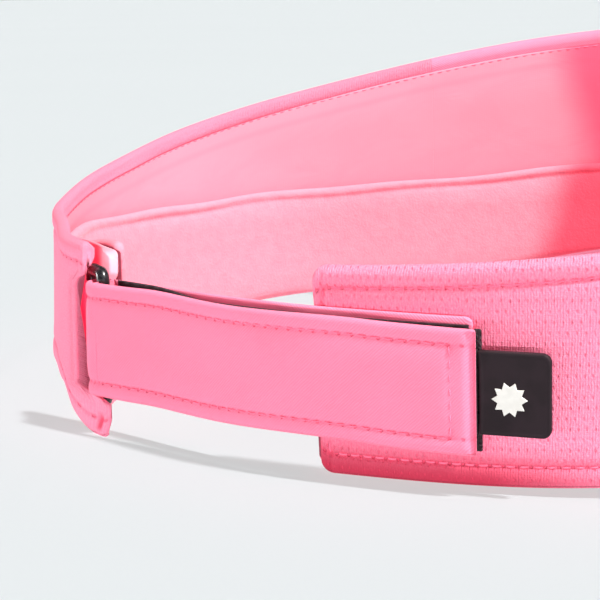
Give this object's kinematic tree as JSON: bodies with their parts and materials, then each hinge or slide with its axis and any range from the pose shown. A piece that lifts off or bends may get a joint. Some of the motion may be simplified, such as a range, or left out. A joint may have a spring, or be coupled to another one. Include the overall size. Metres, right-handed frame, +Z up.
{
  "type": "sun visor",
  "caption": "Open-crown sun visor with a curved bill, knit band, plush sweatband and a rear strap that turns round a ring and closes with hook-and-loop tape and a soft pull tab.",
  "frame": {"origin": "middle of the visor's footprint, on the surface it stands on", "axes": "+Z up, +Y from the rear strap towards the bill, +X towards the wearer's right"},
  "size_m": [0.1948, 0.271, 0.0787],
  "materials": {
    "knit": "matte, fine pinhole knit",
    "twill": "matte, fine twill",
    "lining": "matte, smooth woven lining",
    "sweatband": "matte, soft plush",
    "foam": "matte, open cell padding",
    "buckram": "matte, stiff open weave",
    "board": "smooth polyethylene sheet",
    "hook_loop": "matte, hook and loop pile",
    "rubber": "satin, soft moulded",
    "plastic": "glossy, moulded",
    "emblem": "satin, raised print"
  },
  "bodies": {
    "band": {"shell_front": "twill", "shell_right": "knit", "shell_left": "knit", "front_stiffener": "buckram", "lining_front": "lining", "lining_right": "lining", "lining_left": "lining", "sweatband_foam": "foam", "sweatband_cover": "sweatband", "bill_board": "board", "bill_top_cover": "twill", "bill_under_cover": "twill", "ring_keeper": "twill", "strap_base": "twill", "loop_tape": "hook_loop", "strap_fold": "twill"},
    "ring": {"strap_ring": "plastic"},
    "flap": {"strap_tail": "twill", "hook_tape": "hook_loop", "pull_tab_root": "rubber"},
    "tab": {"pull_tab": "rubber", "tab_emblem": "emblem"}
  },
  "joints": [
    {"name": "ring_swing", "type": "hinge", "parent": "band", "child": "ring", "pos_m": [-0.03001, -0.13006, 0.01925], "axis": [0, 0, 1], "range_deg": [-4, 4]},
    {"name": "flap_peel", "type": "hinge", "parent": "band", "child": "flap", "pos_m": [-0.0212, -0.13532, 0.01985], "axis": [0, 0, -1], "range_deg": [0, 140]},
    {"name": "tab_lift", "type": "hinge", "parent": "flap", "child": "tab", "pos_m": [0.0596, -0.11607, 0.01935], "axis": [-0.0411, 0.0775, -0.9962], "range_deg": [0, 50], "stiffness_Nm_per_rad": 0.01}
  ]
}
